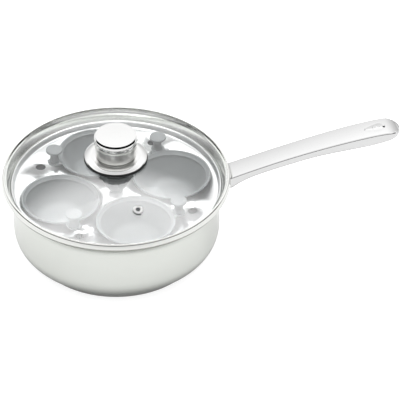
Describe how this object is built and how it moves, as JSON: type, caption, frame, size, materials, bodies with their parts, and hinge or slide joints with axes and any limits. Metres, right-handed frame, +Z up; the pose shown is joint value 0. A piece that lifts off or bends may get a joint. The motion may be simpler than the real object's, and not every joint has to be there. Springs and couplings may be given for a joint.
{
  "type": "egg poacher pan",
  "caption": "Stainless steel egg poacher pan with a flared lip, long handle, lift-out tray with non-stick cups and a domed glass lid.",
  "frame": {"origin": "on the pan's axis at the underside of the base disc", "axes": "+Z up along the pan's axis, +X along the handle"},
  "size_m": [0.375, 0.215, 0.1308],
  "materials": {
    "pan_steel": "satin polished steel with fine rings",
    "base_steel": "brushed",
    "core_aluminium": "as cast, closed in",
    "handle_steel": "polished",
    "tray_steel": "mirror polished steel",
    "cup_coating": "satin dark grey non-stick coating",
    "knob_plastic": "semi-gloss dark grey phenolic",
    "fastener_steel": "turned",
    "glass": "clear tempered glass",
    "band_steel": "polished",
    "soft_black": "matt silicone",
    "knob_chrome": "mirror polished",
    "insert_brass": "turned"
  },
  "bodies": {
    "pan": {"pan_body": "pan_steel", "base_core": "core_aluminium", "base_cap": "base_steel", "handle_shell": "handle_steel", "handle_underside": "handle_steel", "handle_bracket": "fastener_steel"},
    "tray": {"poaching_tray": "tray_steel", "tray_knob": "knob_plastic", "tray_knob_screw": "fastener_steel"},
    "cup_one": {"cup_1": "cup_coating", "cup_knob_1": "knob_plastic", "cup_rivet_1": "fastener_steel"},
    "cup_two": {"cup_2": "cup_coating", "cup_knob_2": "knob_plastic", "cup_rivet_2": "fastener_steel"},
    "cup_three": {"cup_3": "cup_coating", "cup_knob_3": "knob_plastic", "cup_rivet_3": "fastener_steel"},
    "cup_four": {"cup_4": "cup_coating", "cup_knob_4": "knob_plastic", "cup_rivet_4": "fastener_steel"},
    "lid": {"lid_glass": "glass", "lid_band": "band_steel", "vent_eyelet": "fastener_steel", "knob_gasket": "soft_black", "knob_flange": "knob_chrome", "knob_neck": "knob_chrome", "knob_cap": "knob_chrome", "knob_insert": "insert_brass", "knob_screw": "fastener_steel", "soft_washer": "soft_black", "steel_washer": "fastener_steel"}
  },
  "joints": [
    {"name": "tray_lift", "type": "slide", "parent": "pan", "child": "tray", "axis": [0, 0, 1], "range_m": [0, 0.12]},
    {"name": "lid_lift", "type": "slide", "parent": "tray", "child": "lid", "axis": [0, 0, 1], "range_m": [0, 0.16]},
    {"name": "cup_1_lift", "type": "slide", "parent": "tray", "child": "cup_one", "axis": [0, 0, 1], "range_m": [0, 0.064]},
    {"name": "cup_2_lift", "type": "slide", "parent": "tray", "child": "cup_two", "axis": [0, 0, 1], "range_m": [0, 0.064]},
    {"name": "cup_3_lift", "type": "slide", "parent": "tray", "child": "cup_three", "axis": [0, 0, 1], "range_m": [0, 0.064]},
    {"name": "cup_4_lift", "type": "slide", "parent": "tray", "child": "cup_four", "axis": [0, 0, 1], "range_m": [0, 0.064]}
  ],
  "couplings": [
    {"joint": "cup_1_lift", "follows": "lid_lift", "ratio": 0.4},
    {"joint": "cup_2_lift", "follows": "lid_lift", "ratio": 0.4},
    {"joint": "cup_3_lift", "follows": "lid_lift", "ratio": 0.4},
    {"joint": "cup_4_lift", "follows": "lid_lift", "ratio": 0.4}
  ]
}
